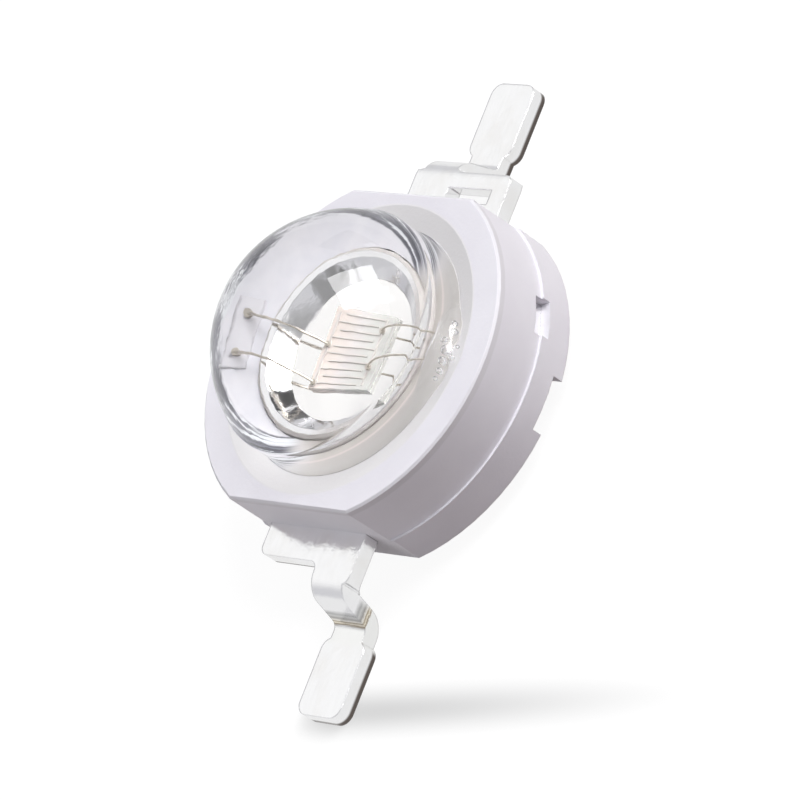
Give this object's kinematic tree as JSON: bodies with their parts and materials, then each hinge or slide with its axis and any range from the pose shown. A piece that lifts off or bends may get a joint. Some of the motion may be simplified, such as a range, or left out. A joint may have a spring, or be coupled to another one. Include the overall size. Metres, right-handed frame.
{
  "type": "uv led",
  "caption": "Surface-mount ultraviolet power LED: round body with two flats, clear domed lens over a reflector cup, and S-bent leads with solder feet.",
  "frame": {"origin": "on the solder plane, under the centre of the lens", "axes": "+Z out of the lens, +X along the slotted anode lead, the plain cathode lead points along -X"},
  "size_m": [0.0144, 0.0082, 0.0055],
  "materials": {
    "housing_plastic": "pale lavender white, smooth moulded",
    "lead_plating": "bright silver plating over copper alloy",
    "slug_plating": "bright silver plating over copper, polished in the cup",
    "lens_clear": "clear, glossy",
    "gel_clear": "clear silicone, glossy where it spilled",
    "chip_crystal": "polished crystal",
    "attach_film": "silver-filled film, matt",
    "chip_metal": "thin gold film",
    "gold_wire": "drawn gold wire"
  },
  "bodies": {
    "root": {"housing": "housing_plastic", "heat_slug": "slug_plating", "anode_lead": "lead_plating", "cathode_lead": "lead_plating", "lens": "lens_clear", "encapsulant": "gel_clear", "die_attach": "attach_film", "chip": "chip_crystal", "p_electrode": "chip_metal", "n_electrode": "chip_metal", "bond_wire_1": "gold_wire", "bond_wire_2": "gold_wire", "bond_wire_3": "gold_wire", "bond_wire_4": "gold_wire"}
  },
  "joints": []
}
